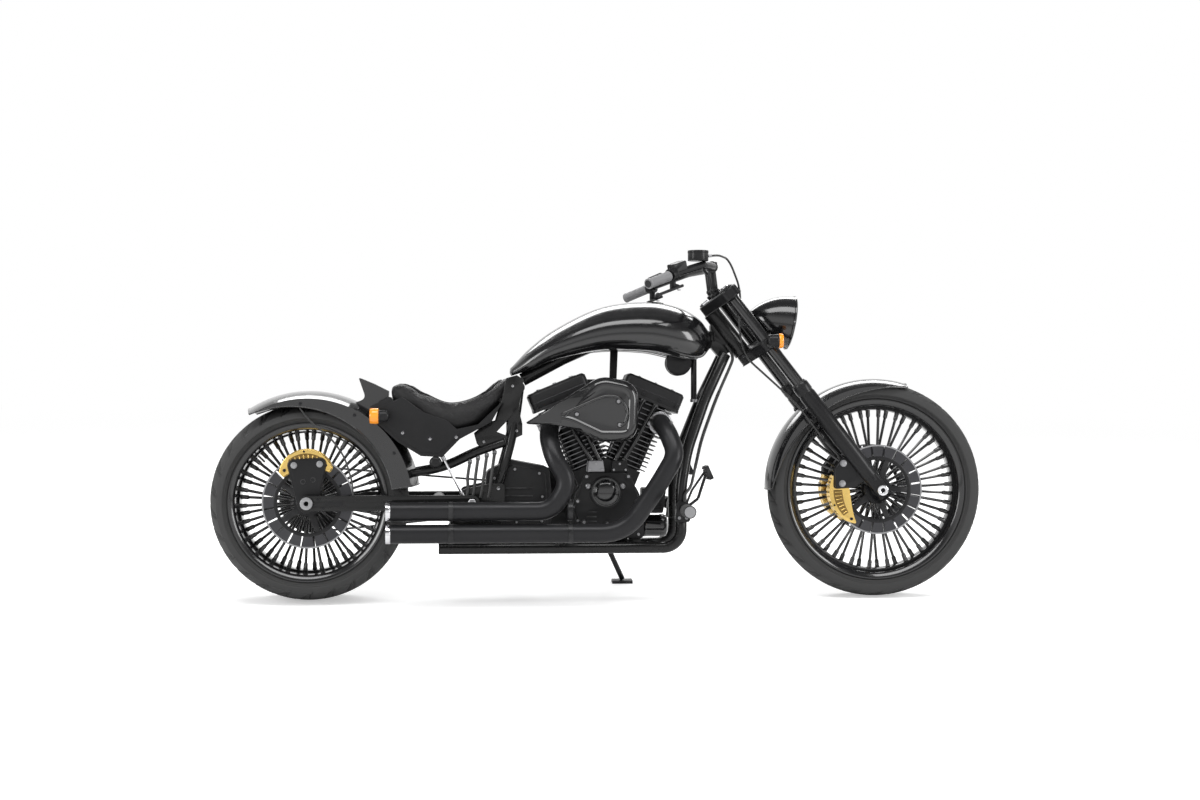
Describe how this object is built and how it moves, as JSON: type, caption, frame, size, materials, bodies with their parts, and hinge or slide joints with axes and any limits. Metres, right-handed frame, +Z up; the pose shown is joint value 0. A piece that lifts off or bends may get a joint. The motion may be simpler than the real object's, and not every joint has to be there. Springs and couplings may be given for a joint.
{
  "type": "chopper motorcycle",
  "caption": "Long low V-twin chopper with a wide spoked rear wheel, raked fork, teardrop tank, solo seat and twin side exhausts, leaning on its side stand.",
  "frame": {"origin": "under the middle of the bounding box, on the ground", "axes": "+X forward along the wheelbase, +Y to the rider's left, +Z up"},
  "size_m": [2.6139, 0.827, 1.1829],
  "materials": {
    "alloy_black": "satin",
    "amber_glass": "clear",
    "belt_rubber": "matte",
    "bright_chrome": "polished",
    "exhaust_black": "satin",
    "gloss_black": "gloss",
    "gold": "anodised",
    "grip_rubber": "matte",
    "hose_rubber": "satin",
    "lamp_glass": "clear",
    "leather_black": "satin",
    "satin_black": "satin",
    "steel": "brushed",
    "tyre_rubber": "matte"
  },
  "bodies": {
    "chassis": {"air_cleaner": "satin_black", "carburettor": "alloy_black", "crankcase": "alloy_black", "cylinder_front": "alloy_black", "cylinder_rear": "alloy_black", "drive_belt": "belt_rubber", "exhaust_pipes": "exhaust_black", "foot_controls": "satin_black", "frame_downtubes": "satin_black", "frame_pivot_plates": "satin_black", "frame_rails": "satin_black", "frame_rear": "satin_black", "frame_spine": "satin_black", "fuel_tank": "gloss_black", "gearbox": "alloy_black", "loom": "hose_rubber", "oil_filter": "satin_black", "primary_cover": "alloy_black", "pushrod_tubes": "bright_chrome", "rear_axle": "steel", "rear_caliper": "gold", "rear_fender": "gloss_black", "rear_hose": "hose_rubber", "rear_indicator_lenses": "amber_glass", "rear_indicators": "satin_black", "regulator": "satin_black", "rocker_boxes": "alloy_black", "seat": "leather_black", "seat_pan": "satin_black", "swingarm": "satin_black", "tail_cowl": "gloss_black", "timing_cover": "alloy_black", "undertank_fittings": "satin_black"},
    "steering": {"fork_clamps": "satin_black", "fork_stanchions": "bright_chrome", "fork_sliders": "satin_black", "front_axle": "bright_chrome", "front_calipers": "gold", "front_fender": "gloss_black", "headlight_shell": "gloss_black", "headlight_lens": "lamp_glass", "handlebar": "satin_black", "grips": "grip_rubber", "hand_controls": "satin_black", "front_indicators": "satin_black", "front_indicator_lenses": "amber_glass", "front_hoses": "hose_rubber"},
    "front_wheel": {"front_tyre": "tyre_rubber", "front_wheel": "gloss_black", "front_rotors": "steel"},
    "rear_wheel": {"rear_tyre": "tyre_rubber", "rear_wheel": "gloss_black", "rear_rotor": "steel", "rear_pulley": "alloy_black"},
    "side_stand": {"side_stand": "satin_black"}
  },
  "joints": [
    {"name": "steering", "type": "hinge", "parent": "chassis", "child": "steering", "pos_m": [0.50105, -0.01008, 0.8122], "axis": [-0.6157, 0.0824, 0.7837], "range_deg": [-30, 30]},
    {"name": "front_wheel_spin", "type": "hinge", "parent": "steering", "child": "front_wheel", "pos_m": [0.941, -0.05706, 0.36525], "axis": [0, 0.9945, -0.1045], "continuous": true},
    {"name": "rear_wheel_spin", "type": "hinge", "parent": "chassis", "child": "rear_wheel", "pos_m": [-0.977, -0.06082, 0.32945], "axis": [0, 0.9945, -0.1045], "continuous": true},
    {"name": "side_stand_fold", "type": "hinge", "parent": "chassis", "child": "side_stand", "pos_m": [0.033, 0.07362, 0.15444], "axis": [0.1619, 0.7884, 0.5935], "range_deg": [0, 104.4]}
  ]
}
